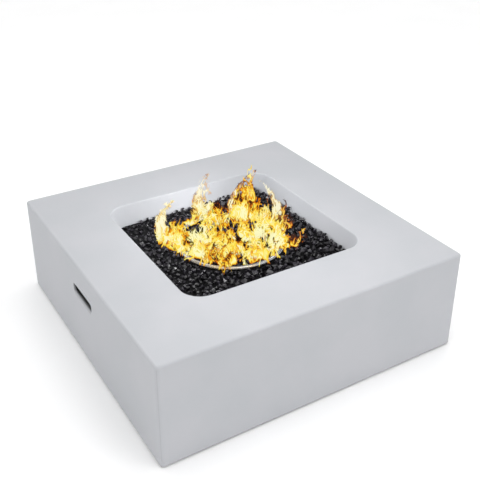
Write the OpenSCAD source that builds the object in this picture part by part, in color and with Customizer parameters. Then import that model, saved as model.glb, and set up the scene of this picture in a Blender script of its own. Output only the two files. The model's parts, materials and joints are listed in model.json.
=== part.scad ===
// Low square gas fire pit table. A hollow cast body with a sunken, drafted fire bowl carries a steel burner
// tray. A ring burner stands on a pipe in a bed of fire glass, and a recessed control box in the back wall
// holds a push-and-turn gas valve and a push-button spark igniter.
// Millimetres, +Z up, with the origin on the floor under the middle of the table. The control box opens
// towards +Y, and the two hand slots go through the -X and +X walls.

/* [Body] */
// Side of the square body
table_side = 890; // [780:5:1000]
// Height from the floor to the table top
table_h = 290; // [280:5:340]
// Wall thickness of the casting
wall = 10; // [8:0.5:13]
// Radius of the upright outer corners
corner_r = 11; // [8:1:20]
// Round along the outer edge of the top
edge_r = 6; // [2:1:8]

/* [Fire bowl] */
// Side of the bowl's mouth in the table top
bowl_side = 534; // [500:2:580]
// Corner radius of the bowl's mouth
bowl_corner_r = 58; // [54:1:80]
// Depth from the table top to the ledge that carries the tray
bowl_depth = 75; // [68:1:85]
// Draft of the bowl's wall, in degrees from upright
bowl_draft = 15; // [10:1:17]
// Chamfer round the bowl's mouth
rim_cut = 2; // [1:0.5:4]
// Width of the ledge at the bowl's foot
ledge_w = 20; // [16:1:24]

/* [Hand slots] */
// Length of a hand slot
slot_len = 128; // [100:1:160]
// Height of a hand slot
slot_h = 27; // [22:1:36]
// Corner radius of a hand slot
slot_r = 11; // [6:0.5:11]
// From the table top down to the middle of a slot
slot_drop = 83; // [60:1:110]
// Slope of a slot's lower lip, in degrees down and out
slot_slope = 43; // [20:1:50]

/* [Feet] */
// Height of a rubber foot below the casting
foot_h = 5; // [4:0.5:10]
// Radius of a foot's pad
foot_r = 18; // [14:1:22]
// Radius of the stem that plugs into the casting
foot_stem_r = 5; // [4:0.5:7]
// Length of that stem
foot_stem_len = 18; // [12:1:24]
// From the inner wall faces to the middle of a foot
foot_inset = 24; // [22:1:28]
// Leg of the triangular corner block that takes a foot
block_leg = 82; // [78:1:100]
// Height of the corner block
block_h = 36; // [32:1:60]

/* [Burner tray] */
// Sheet thickness of the tray, the bracket and the control box
sheet_t = 1.5; // [1:0.1:2]
// Depth of the tray below the ledge
tray_depth = 30; // [24:1:40]
// Play between the tray and the casting, all round
tray_play = 1.5; // [1:0.1:2.5]
// Radius of a drain hole in the tray
drain_r = 5; // [3:0.5:7]
// From the middle of the table to a drain hole, along each side
drain_reach = 160; // [120:5:180]
// From the middle of a side to each tray screw
tray_screw_reach = 120; // [80:5:160]

/* [Burner] */
// Radius of the burner ring at the middle of its tube
ring_r = 150; // [130:1:160]
// Outer radius of the ring's tube
ring_tube_r = 6.4; // [6:0.1:9]
// Wall of the burner's tubes
ring_wall = 1.2; // [1:0.1:1.6]
// From the table top down to the middle of the ring's tube
ring_drop = 46; // [40:1:48]
// Number of gas ports
port_count = 36; // [24:2:48]
// Radius of a gas port
port_r = 1.3; // [0.8:0.1:1.6]
// Outer radius of the hub at the middle of the cross tube
hub_r = 16; // [14:0.5:19]
// Length of the hub below the cross tube's axis
hub_drop = 22; // [20:1:24]
// Outer radius of the burner pipe
pipe_r = 10.65; // [10:0.05:11.5]
// Bore radius of the burner pipe
pipe_bore_r = 7.9; // [6:0.1:8.5]
// Depth of the sockets that take the pipe's ends
socket_depth = 14; // [10:1:16]
// Size of a pipe locknut across its flats
locknut_af = 32; // [28:1:36]
// Thickness of a pipe locknut
locknut_t = 8; // [6:0.5:9]
// Outer radius of the air mixer
mixer_r = 16; // [14:0.5:19]
// Length of the air mixer
mixer_len = 54; // [48:1:58]
// Radius of an air hole in the mixer
air_hole_r = 5; // [3:0.5:6]

/* [Gas line] */
// Outer radius of the gas line
line_r = 4.75; // [4:0.05:5.5]
// Wall of the gas line
line_wall = 1; // [0.6:0.1:1.2]
// Radius of a bend, at the middle of the line
line_bend = 26; // [20:1:32]
// From the orifice down to the line's low run
line_low = 38; // [34:1:44]
// Radius of the screwed end of a flare fitting
flare_r = 7.9; // [7.5:0.05:8.5]
// Length of the screwed end of a flare fitting
flare_len = 12; // [10:0.5:14]
// Bore radius of the fittings
fitting_bore_r = 3.5; // [2.5:0.1:4]
// Hexagon of the fittings and their nuts, across its flats
flare_af = 22; // [20:0.5:24]
// Length of a hexagon on a fitting
flare_hex = 8; // [6:0.5:10]
// Length of a flare nut
flare_nut_len = 20; // [18:0.5:24]

/* [Control box] */
// Width of the opening in the back wall
box_w = 190; // [170:2:230]
// Height of the opening in the back wall
box_h = 84; // [76:1:100]
// Corner radius of the opening
box_r = 9; // [5:1:14]
// Depth of the box behind the wall's inner face
box_depth = 34; // [33:1:40]
// Width of the flange behind the wall
flange_w = 16; // [14:1:22]
// Height of the box's middle above the floor
control_z = 160; // [145:1:170]
// From the box's middle sideways to the knob and to the igniter
control_reach = 45; // [42:1:50]
// Width of the arch under the back wall that lets the gas hose in
arch_w = 36; // [28:1:44]
// Height of that arch above the casting's underside
arch_h = 30; // [24:1:38]
// From the middle of the back wall sideways to the arch
arch_reach = 45; // [30:5:90]

/* [Gas valve] */
// Width of the valve's block
valve_w = 34; // [34:1:38]
// Height of the valve's block
valve_h = 50; // [48:1:56]
// Length of the valve's block behind the box
valve_len = 36; // [36:1:42]
// Radius of the spring chamber
chamber_r = 8; // [7.6:0.1:8.6]
// Depth of the spring chamber
chamber_depth = 22; // [21:0.5:24]
// Thickness of the cap on the chamber
cap_t = 3; // [2:0.5:4]
// Radius of the valve's stem
stem_r = 4; // [3.5:0.1:4.2]
// Length of the collar on the stem
collar_len = 6; // [5:0.5:7]
// Radius of the collar on the stem
collar_r = 6.8; // [6:0.1:7.2]
// Push travel of the stem and knob
push_travel = 3; // [2:0.5:3.5]
// Thickness of the thrust washer
washer_t = 1; // [0.8:0.1:1.2]
// Coils of the stem's return spring
stem_coils = 5; // [4:1:6]

/* [Knob] */
// Radius of the knob's skirt
knob_r = 24; // [22:0.5:27]
// Height of the knob
knob_h = 24; // [22:0.5:25]
// Height of the skirt
skirt_h = 5; // [4:0.5:6]
// Radius of the grip at its foot
grip_r = 20; // [19:0.5:21.5]
// Radius of the grip at its front
grip_front_r = 17.5; // [16:0.5:18.5]
// Number of flutes round the grip
flute_count = 16; // [10:1:18]
// Radius of a flute
flute_r = 1.8; // [1:0.1:2.2]
// Thickness of the knob's front
knob_front_t = 4; // [3:0.5:5]

/* [Igniter] */
// Radius of the igniter's barrel
igniter_r = 11; // [10.5:0.1:12.5]
// Length of the barrel behind the box's front face
igniter_len = 72; // [70:1:80]
// Radius of the igniter's flange
igniter_flange_r = 15; // [14:0.5:18]
// Thickness of the igniter's flange
igniter_flange_t = 3; // [2:0.5:4]
// Radius of the push button
button_r = 8.8; // [8:0.1:9]
// How far the button stands out of the flange
button_out = 6; // [5:0.5:8]
// Push travel of the button
button_travel = 4; // [3:0.5:4.5]
// Radius of the battery
battery_r = 7.2; // [6.8:0.1:7.3]
// Length of the battery
battery_len = 50; // [48:0.5:50.5]
// Coils of the button's return spring
button_coils = 4; // [3:1:5]

/* [Spark and flame sensing] */
// From the middle of the table to the electrode and the thermocouple
pilot_y = 121; // [110:1:122]
// From the middle plane sideways to each of them
pilot_reach = 12; // [10:0.5:14]
// Radius of the electrode's ceramic sleeve
sleeve_r = 3.6; // [3:0.1:4.2]
// Radius of the electrode's rod
rod_r = 1.2; // [0.9:0.1:1.5]
// Radius of the thermocouple's tube
probe_r = 2.5; // [2:0.1:3]
// Radius of the spark lead
spark_lead_r = 2; // [1.5:0.1:2.5]
// Radius of the thermocouple lead
probe_lead_r = 1.2; // [0.8:0.1:1.6]
// Radius of a bend in the leads
lead_bend = 14; // [10:1:16]

/* [Fire glass] */
// From the table top down to the level of the bed under the top layer of pieces
glass_drop = 60; // [57:1:62]
// Spacing of the pieces in the top layer
glass_pitch = 21; // [20:0.5:26]
// Height of a piece above its waist
glass_up = 8; // [5:0.5:9]
// Height of a piece below its waist
glass_down = 7; // [4:0.5:8]
// Seed of the irregular pieces
glass_seed = 7; // [1:1:99]

/* [Fasteners and fits] */
// Radius of a screw's shank
screw_r = 2; // [1.6:0.1:2.2]
// Radius of a screw's head
screw_head_r = 3.8; // [3.4:0.1:4]
// Height of a screw's head
screw_head_h = 2.4; // [1.8:0.1:2.6]
// Length of a screw's shank in the casting
screw_grip = 7; // [5:0.5:7]
// Radial clearance of fixed fits
fit = 0.1; // [0.05:0.01:0.15]
// Radial clearance of sliding and turning fits
running = 0.06; // [0.03:0.01:0.1]

/* [Hidden] */

$fn = 64;
// How far a cut runs past the face it opens
over = 1;
// Size across the flats and depth of the socket in a screw's head
screw_key_af = 3;
screw_key_depth = 1;
// Sides of a swept tube or lead, and steps of each of its bends
tube_sides = 12;
bend_steps = 6;

// Levels and half-sizes of the body and the bowl
half = table_side / 2;
inner_half = half - wall;
foot_bevel = 2;
corner_c = half - corner_r;
body_h = table_h - foot_h;
// Flat part of a hand slot's lower lip, along the wall's inner face
slot_land = 1.7;
bowl_half = bowl_side / 2;
bowl_c = bowl_half - bowl_corner_r;
ledge_z = table_h - bowl_depth;
ledge_half = bowl_half_at(ledge_z);
hole_half = ledge_half - ledge_w;

// Levels and half-sizes of the tray
flange_half = ledge_half - tray_play;
pan_half = hole_half - tray_play;
floor_z = ledge_z - tray_depth;
floor_under = floor_z - sheet_t;
tray_top = ledge_z + sheet_t;
tray_screw_line = ledge_half - ledge_w / 2;

// Levels of the burner and the parts under it
nut_gap = 3;
hub_step = 1;
spoke_r = ring_tube_r - 1;
port_lean = 35;
jet_r = 0.8;
mixer_band = 2;
air_hole_gap = 4;
cone_len = 3;
ring_z = table_h - ring_drop;
hub_top = ring_z + ring_tube_r + hub_step;
hub_foot = ring_z - hub_drop;
pipe_top = hub_foot + socket_depth;
mixer_top = floor_under - locknut_t - nut_gap;
mixer_foot = mixer_top - mixer_len;
mixer_bore_r = flare_r + fit;
orifice_plug = 14;
orifice_nose = mixer_foot - flare_hex - flare_len;

// Depths behind the back wall's inner face, out of the table being positive
box_screw_inset = 8;
plate_front = -box_depth;
plate_back = -box_depth - sheet_t;
valve_back = plate_back - valve_len;
outlet_nose = valve_back - flare_hex - flare_len;
inlet_depth = plate_back - valve_len / 2;
cap_back = plate_back - cap_t;
collar_back = cap_back - collar_len;
washer_back = collar_back - washer_t;
chamber_floor = plate_back - chamber_depth;
stem_guide = 6;
stem_back = chamber_floor - stem_guide;
stem_flat = 1;
flat_back = 4;
valve_corner_r = 4;
valve_screw_reach = chamber_r + 5;
stem_hole_r = stem_r + 1;
washer_r = chamber_r - 0.5;
thermo_reach = 18;
thermo_plug_r = 3;
thermo_plug = 8;
thermo_hex = 7;
inlet_plug = 9;
stem_wire_r = 0.5;
knob_gap = 2;
knob_bevel = 1.5;
knob_wall = 2.5;
skirt_bevel = 1;
pointer_w = 2;
pointer_depth = 0.8;
knob_back = plate_front + push_travel + knob_gap;
knob_front = knob_back + knob_h;
igniter_back = plate_front - igniter_len;
button_tail = 6;
button_back = plate_front - button_tail;
button_spare = 2;
button_seat = button_tail + button_travel + button_spare;
button_wire_r = 0.4;
battery_nub = 1.5;
battery_gap = 4;
battery_front = plate_front - button_seat - battery_gap;
igniter_bevel = 1;
igniter_nut_t = 5;
igniter_nut_wall = 4;

// Levels of the glass and of the sensors that stand in it
glass_z = table_h - glass_drop;
glass_gap = 0.3;
glass_r = glass_pitch / 2 - glass_gap;
waist = 6;
tab_z = glass_z + 3;
tab_reach = 8;
sleeve_step = 3;
spark_gap = 5;
bracket_half = 23;
bracket_y = pilot_y + 10;
bracket_foot = 18;
rivet_y = bracket_y + 10;
rivet_head_r = 3.4;
rivet_head_h = 1.4;
terminal_len = 8;
lead_foot = floor_under - 12;

// The gas line and the two leads run from the control box to the burner
line_z = orifice_nose - line_low;
clip_away = 30;
rise_away = 45;
turn_away = 48;
clip_y = pilot_y + clip_away;
clip_t = 8;
line_rise_y = clip_y + rise_away;
line_turn = inner_half + outlet_nose - turn_away;
line_points = [[control_reach, inner_half + outlet_nose, control_z], [control_reach, line_turn, control_z],
    [0, line_rise_y, line_z], [0, 0, line_z], [0, 0, orifice_nose]];
spark_points = [[-control_reach, inner_half + igniter_back - terminal_len, control_z],
    [-control_reach, line_turn, control_z], [-pilot_reach, line_rise_y, line_z],
    [-pilot_reach, pilot_y, line_z], [-pilot_reach, pilot_y, lead_foot]];
thermo_points = [[control_reach, inner_half + valve_back - thermo_hex, control_z + thermo_reach],
    [control_reach, line_turn, control_z + thermo_reach], [pilot_reach, line_rise_y, line_z],
    [pilot_reach, pilot_y, line_z], [pilot_reach, pilot_y, lead_foot]];

// Half-side of the bowl at a height
function bowl_half_at(z) = bowl_half - (table_h - z) * tan(bowl_draft);

function unit(v) = v / norm(v);

// Points of a route whose corners are rounded to a bend radius
function rounded_route(p, bend) = concat([p[0]], [for (i = [1 : len(p) - 2]) each bend_points(
    p[i], unit(p[i] - p[i - 1]), unit(p[i + 1] - p[i]), bend)], [p[len(p) - 1]]);

// Points round one corner, from the direction a to the direction b
function bend_points(corner, a, b, bend) = let(
    angle = acos(a * b),
    inward = unit(b - a * (a * b)),
    middle = corner - a * bend * tan(angle / 2) + inward * bend)
    [for (k = [0 : bend_steps]) let(t = angle * k / bend_steps)
        middle + bend * (a * sin(t) - inward * cos(t))];

// Rings of points round a route, one after another; level is a direction that the route never takes
function ring_points(route, r, sides, level) = [for (i = [0 : len(route) - 1], j = [0 : sides - 1]) let(
    t = unit(route[min(i + 1, len(route) - 1)] - route[max(i - 1, 0)]),
    u = unit(cross(level, t)),
    q = 360 * j / sides) route[i] + r * (u * cos(q) + cross(u, t) * sin(q))];

// Facets between the rings of points that start at first
function wall_facets(rings, sides, first) = [for (i = [0 : rings - 2], j = [0 : sides - 1],
    half_facet = [0, 1]) let(k = first + sides * i + j, m = first + sides * i + (j + 1) % sides)
        half_facet == 0 ? [k, k + sides, m] : [m, k + sides, m + sides]];

// The same facets, facing the other way
function flipped(facets) = [for (f = facets) [f[2], f[1], f[0]]];

// Draws in the plane of the back wall's inner face: X to the right seen from outside, Z out of the table
module on_back_wall() {
    translate([0, half - wall, control_z]) rotate([90, 0, 180]) children();
}

module rounded_rect(half_x, half_y, r) {
    square([2 * half_x, 2 * (half_y - r)], center = true);
    square([2 * (half_x - r), 2 * half_y], center = true);
    for (sx = [-1, 1], sy = [-1, 1]) translate([sx * (half_x - r), sy * (half_y - r)]) circle(r);
}

module rounded_plate(half_side, r, z, h) {
    translate([0, 0, z]) linear_extrude(h) rounded_rect(half_side, half_side, r);
}

// A square block whose half-side runs from half_0 at z_0 to half_1 at z_1, with conical corners
module drafted_block(z_0, z_1, half_0, half_1) {
    for (turn = [0, 90])
        rotate(turn) translate([0, bowl_c, 0]) rotate([90, 0, 0]) linear_extrude(2 * bowl_c)
            polygon([[-half_0, z_0], [half_0, z_0], [half_1, z_1], [-half_1, z_1]]);
    for (sx = [-1, 1], sy = [-1, 1])
        translate([sx * bowl_c, sy * bowl_c, z_0])
            cylinder(h = z_1 - z_0, r1 = half_0 - bowl_c, r2 = half_1 - bowl_c);
}

module hexagon(af, h) {
    cylinder(h = h, r = af / 2 / cos(30), $fn = 6);
}

// A round bar swept along a route
module swept_bar(route, r, sides, level) {
    last = sides * (len(route) - 1);
    foot = [for (j = [1 : sides - 2]) [0, j, j + 1]];
    head = [for (j = [1 : sides - 2]) [last, last + j + 1, last + j]];
    polyhedron(ring_points(route, r, sides, level), concat(wall_facets(len(route), sides, 0), foot, head));
}

// A round tube swept along a route
module swept_tube(route, r, bore_r, sides, level) {
    inner = sides * len(route);
    last = inner - sides;
    ends = [for (j = [0 : sides - 1], half_facet = [0, 1]) let(m = (j + 1) % sides)
        half_facet == 0 ? [j, m, inner + j] : [m, inner + m, inner + j]];
    far = [for (f = ends) [f[2] + last, f[1] + last, f[0] + last]];
    polyhedron(concat(ring_points(route, r, sides, level), ring_points(route, bore_r, sides, level)),
        concat(wall_facets(len(route), sides, 0), flipped(wall_facets(len(route), sides, inner)), ends, far));
}

// A helix of round wire that stands on Z = 0 and is h tall
module coil(turns, r, wire_r, h) {
    steps = 8 * turns;
    swept_bar([for (i = [0 : steps]) [r * cos(45 * i), r * sin(45 * i),
        wire_r + (h - 2 * wire_r) * i / steps]], wire_r, 6, [0, 0, 1]);
}

// A pan-head screw whose shank points down from the seat of its head
module screw(shank) {
    translate([0, 0, -shank]) cylinder(h = shank, r = screw_r);
    difference() {
        cylinder(h = screw_head_h, r = screw_head_r);
        translate([0, 0, screw_head_h - screw_key_depth]) hexagon(screw_key_af, screw_key_depth + over);
    }
}

// Places of the screws that hold the tray to the ledge, two on each side
module tray_screw_places() {
    for (turn = [0 : 90 : 270], side = [-1, 1])
        rotate(turn) translate([side * tray_screw_reach, tray_screw_line, 0]) children();
}

// Places of the screws that hold the control box, on the wall's inner face
module box_screw_places() {
    on_back_wall() for (sx = [-1, 1], sy = [-1, 1])
        translate([sx * (box_w + flange_w) / 2, sy * (box_h / 2 - box_screw_inset), 0])
            children();
}

module foot_places() {
    for (turn = [0 : 90 : 270])
        rotate(turn) translate([inner_half - foot_inset, inner_half - foot_inset, foot_h]) children();
}

// Upright outline of the body, from its middle out to a half-width, with the top edge rounded
module body_outline(width) {
    square([width, body_h - edge_r]);
    square([width - edge_r, body_h]);
    intersection() {
        translate([width - edge_r, body_h - edge_r]) circle(edge_r);
        square([width, body_h]);
    }
}

module body_block() {
    translate([0, 0, foot_h]) {
        for (turn = [0 : 90 : 270])
            rotate(turn) translate([0, corner_c, 0]) rotate([90, 0, 0]) linear_extrude(2 * corner_c)
                body_outline(half);
        for (sx = [-1, 1], sy = [-1, 1])
            translate([sx * corner_c, sy * corner_c, 0]) rotate_extrude() body_outline(corner_r);
    }
}

module corner_blocks() {
    for (turn = [0 : 90 : 270])
        rotate(turn) translate([inner_half + over, inner_half + over, foot_h - over])
            linear_extrude(block_h + over)
                polygon([[0, 0], [-block_leg - over, 0], [0, -block_leg - over]]);
}

// The hollow under the top, round the outside of the bowl and between the corner blocks
module body_hollow() {
    difference() {
        translate([-inner_half, -inner_half, foot_h - over])
            cube([2 * inner_half, 2 * inner_half, body_h - wall + over]);
        drafted_block(ledge_z - wall, table_h, bowl_half_at(ledge_z - wall) + wall,
            bowl_half_at(table_h) + wall);
        corner_blocks();
    }
}

module bowl_recess() {
    drafted_block(ledge_z, table_h + over, ledge_half, bowl_half_at(table_h + over));
    drafted_block(table_h - rim_cut, table_h + over, bowl_half_at(table_h - rim_cut),
        bowl_half_at(table_h - rim_cut) + rim_cut + over);
    rounded_plate(hole_half, hole_half - bowl_c, ledge_z - wall - over, wall + 2 * over);
}

// A slot through each side wall, with a lower lip that is scooped out for the fingers
module hand_slots() {
    flatter = cos(slot_slope);
    scoop_len = wall / flatter + slot_h;
    for (turn = [0, 180])
        rotate(turn) translate([-half, 0, table_h - slot_drop]) rotate([90, 0, 90]) {
            translate([0, 0, -over]) linear_extrude(wall + 2 * over)
                rounded_rect(slot_len / 2, slot_h / 2, slot_r);
            translate([0, 0, wall - slot_land]) rotate([-slot_slope, 0, 0]) translate([0, 0, -scoop_len])
                linear_extrude(scoop_len)
                    rounded_rect((slot_len - slot_r) / 2, slot_h / 2 * flatter, slot_r * flatter);
        }
}

// The control opening and the hose arch in the back wall
module back_openings() {
    on_back_wall() translate([0, 0, -over]) linear_extrude(wall + 2 * over)
        rounded_rect(box_w / 2, box_h / 2, box_r);
    translate([arch_reach, half + over, foot_h]) rotate([90, 0, 0]) linear_extrude(wall + 2 * over) {
        translate([0, arch_h - arch_w / 2]) circle(arch_w / 2);
        translate([-arch_w / 2, -over]) square([arch_w, arch_h - arch_w / 2 + over]);
    }
}

module table_shell() {
    color("#c9cbd0") difference() {
        body_block();
        body_hollow();
        bowl_recess();
        hand_slots();
        back_openings();
        foot_places() translate([0, 0, -over]) cylinder(h = foot_stem_len + over, r = foot_stem_r + fit);
        tray_screw_places() translate([0, 0, ledge_z - screw_grip])
            cylinder(h = screw_grip + over, r = screw_r + fit);
        box_screw_places() translate([0, 0, -over]) cylinder(h = screw_grip + over, r = screw_r + fit);
    }
}

module rubber_feet() {
    color("#26272a") foot_places() {
        translate([0, 0, -foot_h]) rotate_extrude()
            polygon([[0, 0], [foot_r - foot_bevel, 0], [foot_r, foot_bevel], [foot_r, foot_h], [0, foot_h]]);
        cylinder(h = foot_stem_len, r = foot_stem_r);
    }
}

module burner_tray() {
    color("#3a3b3d") difference() {
        union() {
            rounded_plate(flange_half, flange_half - bowl_c, ledge_z, sheet_t);
            rounded_plate(pan_half, pan_half - bowl_c, floor_under, tray_top - floor_under);
        }
        rounded_plate(pan_half - sheet_t, pan_half - sheet_t - bowl_c, floor_z, tray_top - floor_z + over);
        translate([0, 0, floor_under - over]) {
            cylinder(h = sheet_t + 2 * over, r = pipe_r + 2 * fit);
            for (turn = [0 : 45 : 315])
                rotate(turn) translate([drain_reach, 0, 0]) cylinder(h = sheet_t + 2 * over, r = drain_r);
            for (side = [-1, 1]) {
                translate([side * pilot_reach, pilot_y, 0])
                    cylinder(h = sheet_t + 2 * over, r = sleeve_r + 2 * fit);
                translate([side * bracket_half / 2, rivet_y, 0])
                    cylinder(h = sheet_t + 2 * over, r = screw_r + fit);
            }
        }
        tray_screw_places() translate([0, 0, ledge_z - over])
            cylinder(h = sheet_t + 2 * over, r = screw_r + 2 * fit);
    }
}

module tray_screws() {
    color("#b9bcc0") tray_screw_places() translate([0, 0, tray_top]) screw(screw_grip + sheet_t);
}

// The ring, its cross tube and its hub are welded into one piece
module burner_ring() {
    color("#c8ccd1") difference() {
        union() {
            translate([0, 0, ring_z]) rotate_extrude() translate([ring_r, 0]) circle(ring_tube_r);
            translate([-ring_r, 0, ring_z]) rotate([0, 90, 0]) cylinder(h = 2 * ring_r, r = spoke_r);
            translate([0, 0, hub_foot]) cylinder(h = hub_top - hub_foot, r = hub_r);
        }
        translate([0, 0, ring_z]) rotate_extrude() translate([ring_r, 0]) circle(ring_tube_r - ring_wall);
        translate([-ring_r, 0, ring_z]) rotate([0, 90, 0]) cylinder(h = 2 * ring_r, r = spoke_r - ring_wall);
        translate([0, 0, hub_foot - over]) cylinder(h = socket_depth + over, r = pipe_r + fit);
        translate([0, 0, hub_foot]) cylinder(h = ring_z - hub_foot, r = spoke_r - ring_wall);
        for (i = [0 : port_count - 1])
            rotate(360 * (i + 0.5) / port_count) translate([ring_r, 0, ring_z]) rotate([0, -port_lean, 0])
                cylinder(h = ring_tube_r + over, r = port_r);
    }
}

module burner_pipe() {
    foot = mixer_top - socket_depth;
    color("#aeb1b4") translate([0, 0, foot]) difference() {
        cylinder(h = pipe_top - foot, r = pipe_r);
        translate([0, 0, -over]) cylinder(h = pipe_top - foot + 2 * over, r = pipe_bore_r);
    }
}

module pipe_locknuts() {
    color("#b9bcc0") for (z = [floor_z, floor_under - locknut_t])
        translate([0, 0, z]) difference() {
            hexagon(locknut_af, locknut_t);
            translate([0, 0, -over]) cylinder(h = locknut_t + 2 * over, r = pipe_r + fit);
        }
}

// The mixer draws air in through its holes, above the gas jet
module air_mixer() {
    color("#c3a458") translate([0, 0, mixer_foot]) difference() {
        union() {
            cylinder(h = mixer_len, r = mixer_r);
            translate([0, 0, mixer_len - socket_depth]) cylinder(h = socket_depth, r = mixer_r + mixer_band);
        }
        translate([0, 0, -over]) cylinder(h = mixer_len + 2 * over, r = mixer_bore_r);
        translate([0, 0, mixer_len - socket_depth]) cylinder(h = socket_depth + over, r = pipe_r + fit);
        for (turn = [0, 90])
            translate([0, 0, orifice_plug + air_hole_r + air_hole_gap]) rotate([90, 0, turn])
                cylinder(h = 2 * mixer_r + 2 * over, r = air_hole_r, center = true);
    }
}

// A male flare end that points up from Z = 0
module flare_end() {
    cylinder(h = flare_len - cone_len, r = flare_r);
    translate([0, 0, flare_len - cone_len]) cylinder(h = cone_len, r1 = flare_r, r2 = line_r);
}

module gas_orifice() {
    color("#cfae5c") difference() {
        union() {
            translate([0, 0, mixer_foot]) cylinder(h = orifice_plug, r = flare_r);
            translate([0, 0, mixer_foot - flare_hex]) hexagon(flare_af, flare_hex);
            translate([0, 0, mixer_foot - flare_hex]) rotate([180, 0, 0]) flare_end();
        }
        translate([0, 0, orifice_nose - over])
            cylinder(h = mixer_foot - orifice_nose + over, r = fitting_bore_r);
        cylinder(h = mixer_top, r = jet_r);
    }
}

module gas_line() {
    color("#b7babd")
        swept_tube(rounded_route(line_points, line_bend), line_r, line_r - line_wall, tube_sides, [1, 0, 0]);
}

// A flare nut whose open end starts at Z = 0 and takes the fitting's screwed end
module flare_nut() {
    difference() {
        hexagon(flare_af, flare_nut_len);
        translate([0, 0, -over]) cylinder(h = flare_len + over, r = flare_r + fit);
        cylinder(h = flare_nut_len + over, r = line_r + fit);
    }
}

module flare_nuts() {
    color("#cfae5c") {
        translate([0, 0, mixer_foot - flare_hex]) rotate([180, 0, 0]) flare_nut();
        on_back_wall() translate([-control_reach, 0, valve_back - flare_hex]) rotate([180, 0, 0]) flare_nut();
    }
}

// The clip ties both leads to the gas line
module line_clip() {
    clip_half = pilot_reach + 5;
    color("#2a2b2e") translate([0, clip_y + clip_t / 2, line_z]) rotate([90, 0, 0]) difference() {
        linear_extrude(clip_t) rounded_rect(clip_half, line_r + 2.5, 4);
        translate([0, 0, -over]) cylinder(h = clip_t + 2 * over, r = line_r + fit);
        translate([-pilot_reach, 0, -over]) cylinder(h = clip_t + 2 * over, r = spark_lead_r + fit);
        translate([pilot_reach, 0, -over]) cylinder(h = clip_t + 2 * over, r = probe_lead_r + fit);
    }
}

module control_box() {
    color("#2f3033") difference() {
        on_back_wall() difference() {
            union() {
                translate([0, 0, -sheet_t]) linear_extrude(sheet_t)
                    rounded_rect(box_w / 2 + flange_w, box_h / 2 + flange_w, box_r + flange_w / 2);
                translate([0, 0, plate_back]) linear_extrude(-plate_back)
                    rounded_rect(box_w / 2 + sheet_t, box_h / 2 + sheet_t, box_r + sheet_t);
            }
            translate([0, 0, plate_front]) linear_extrude(box_depth + over)
                rounded_rect(box_w / 2, box_h / 2, box_r);
            translate([-control_reach, 0, plate_back - over]) {
                cylinder(h = sheet_t + 2 * over, r = stem_hole_r);
                for (side = [-1, 1]) translate([side * valve_screw_reach, 0, 0])
                    cylinder(h = sheet_t + 2 * over, r = screw_r + fit);
            }
            translate([control_reach, 0, plate_back - over])
                cylinder(h = sheet_t + 2 * over, r = igniter_r + fit);
        }
        box_screw_places() translate([0, 0, -sheet_t - over])
            cylinder(h = sheet_t + 2 * over, r = screw_r + 2 * fit);
    }
}

module box_screws() {
    color("#b9bcc0") box_screw_places() translate([0, 0, -sheet_t]) rotate([180, 0, 0])
        screw(screw_grip + sheet_t);
}

module valve_body() {
    color("#cfae5c") on_back_wall() translate([-control_reach, 0, 0]) difference() {
        union() {
            translate([0, 0, valve_back]) linear_extrude(valve_len)
                rounded_rect(valve_w / 2, valve_h / 2, valve_corner_r);
            translate([0, 0, valve_back - flare_hex]) hexagon(flare_af, flare_hex);
            translate([0, 0, valve_back - flare_hex]) rotate([180, 0, 0]) flare_end();
        }
        translate([0, 0, chamber_floor]) cylinder(h = chamber_depth + over, r = chamber_r);
        translate([0, 0, stem_back - push_travel - over])
            cylinder(h = valve_len, r = stem_r + running);
        translate([0, 0, outlet_nose - over])
            cylinder(h = chamber_floor - outlet_nose, r = fitting_bore_r);
        translate([0, thermo_reach, valve_back - over])
            cylinder(h = thermo_plug + over, r = thermo_plug_r + fit);
        translate([0, -valve_h / 2, inlet_depth]) rotate([-90, 0, 0]) {
            translate([0, 0, -over]) cylinder(h = inlet_plug + over, r = flare_r + fit);
            cylinder(h = valve_h / 2, r = fitting_bore_r);
        }
        for (side = [-1, 1]) translate([side * valve_screw_reach, 0, plate_back - screw_grip])
            cylinder(h = screw_grip + over, r = screw_r + fit);
    }
}

// The cap closes the spring chamber and guides the stem
module valve_cap() {
    color("#b9bcc0") on_back_wall() translate([-control_reach, 0, cap_back]) difference() {
        cylinder(h = cap_t, r = chamber_r - fit);
        translate([0, 0, -over]) cylinder(h = cap_t + 2 * over, r = stem_r + running);
    }
}

module valve_screws() {
    color("#b9bcc0") on_back_wall() for (side = [-1, 1])
        translate([side * valve_screw_reach - control_reach, 0, plate_front])
            screw(screw_grip + sheet_t);
}

// The stem has a collar under the cap and a flat that drives the knob
module valve_stem() {
    stem_front = knob_front - knob_front_t;
    color("#c8ccd1") on_back_wall() translate([-control_reach, 0, 0]) difference() {
        union() {
            translate([0, 0, stem_back]) cylinder(h = stem_front - stem_back, r = stem_r);
            translate([0, 0, collar_back]) cylinder(h = collar_len, r = collar_r);
        }
        translate([-stem_r - over, stem_r - stem_flat, knob_back + flat_back])
            cube([2 * stem_r + 2 * over, stem_flat + over, stem_front - knob_back]);
    }
}

module stem_washer() {
    color("#b9bcc0") on_back_wall() translate([-control_reach, 0, washer_back]) difference() {
        cylinder(h = washer_t, r = washer_r);
        translate([0, 0, -over]) cylinder(h = washer_t + 2 * over, r = stem_r + running);
    }
}

module stem_spring() {
    color("#8e9296") on_back_wall() translate([-control_reach, 0, chamber_floor])
        coil(stem_coils, (stem_r + chamber_r) / 2, stem_wire_r, washer_back - chamber_floor);
}

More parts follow.
